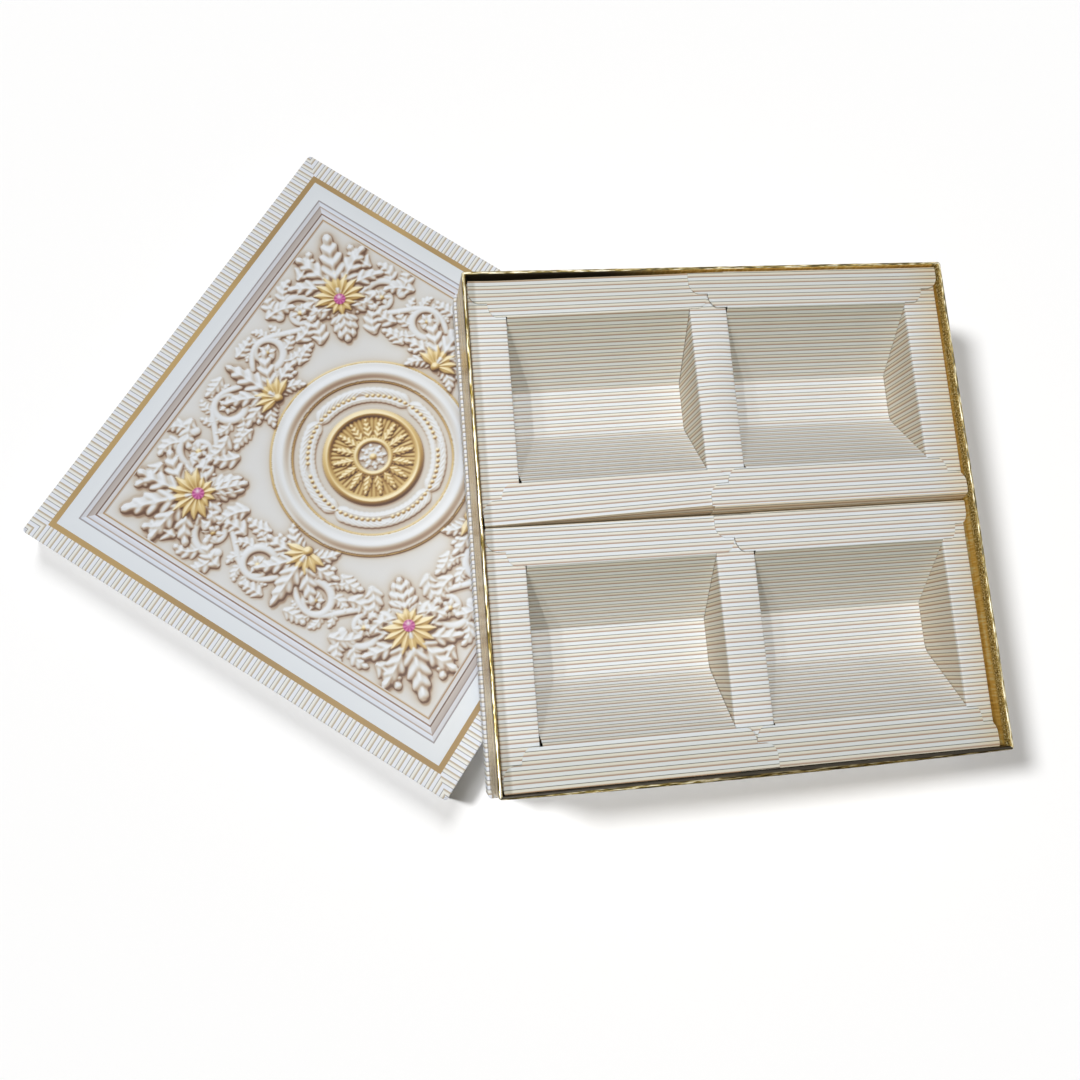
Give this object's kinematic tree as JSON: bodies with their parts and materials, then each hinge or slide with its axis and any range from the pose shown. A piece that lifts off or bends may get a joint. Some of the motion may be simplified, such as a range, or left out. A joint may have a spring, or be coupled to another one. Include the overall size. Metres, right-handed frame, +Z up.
{
  "type": "dried fruit box",
  "caption": "Square rigid paper gift box with a gold foil neck, folded striped card compartments and a shallow printed lid lying under one side of the open base.",
  "frame": {"origin": "middle of the bounding box of base and lid together, on the table", "axes": "+X from the lid towards the base's right side, +Y towards the base's back, +Z up from the table"},
  "size_m": [0.5204, 0.386, 0.0812],
  "materials": {
    "greyboard": "matt",
    "striped_paper": "satin",
    "printed_paper": "satin laminate",
    "white_paper": "matt",
    "gold_foil": "glossy metallised gold",
    "striped_card": "matt coated"
  },
  "bodies": {
    "base": {"base_bottom_sheet": "white_paper", "base_floor_board": "greyboard", "base_wall_left": "greyboard", "base_wall_right": "greyboard", "base_wall_front": "greyboard", "base_wall_back": "greyboard", "base_wrap": "striped_paper", "base_floor_liner": "white_paper", "neck_left": "greyboard", "neck_right": "greyboard", "neck_front": "greyboard", "neck_back": "greyboard", "neck_foil": "gold_foil"},
    "back_cradle": {"back_cradle": "striped_card"},
    "back_left_tray": {"back_left_tray": "striped_card"},
    "back_right_tray": {"back_right_tray": "striped_card"},
    "front_cradle": {"front_cradle": "striped_card"},
    "front_trays": {"front_left_tray": "striped_card", "front_right_tray": "striped_card"},
    "lid": {"lid_wall_left": "greyboard", "lid_wall_right": "greyboard", "lid_wall_front": "greyboard", "lid_wall_back": "greyboard", "lid_panel_board": "greyboard", "lid_wrap": "printed_paper", "lid_liner": "white_paper"}
  },
  "joints": [
    {"name": "back_cradle_lift", "type": "slide", "parent": "base", "child": "back_cradle", "axis": [0.0618, -0.0457, 0.997], "range_m": [0, 0.06]},
    {"name": "back_left_tray_lift", "type": "slide", "parent": "back_cradle", "child": "back_left_tray", "axis": [0.0618, -0.0457, 0.997], "range_m": [0, 0.05]},
    {"name": "back_right_tray_lift", "type": "slide", "parent": "back_left_tray", "child": "back_right_tray", "axis": [0.0618, -0.0457, 0.997], "range_m": [0, 0.05]},
    {"name": "front_cradle_lift", "type": "slide", "parent": "base", "child": "front_cradle", "axis": [0.0618, -0.0457, 0.997], "range_m": [0, 0.06]},
    {"name": "front_trays_lift", "type": "slide", "parent": "front_cradle", "child": "front_trays", "axis": [0.0618, -0.0457, 0.997], "range_m": [0, 0.05]},
    {"name": "lid_slide", "type": "slide", "parent": "base", "child": "lid", "axis": [-0.8045, 0.594, 0], "range_m": [0, 0.2]}
  ]
}
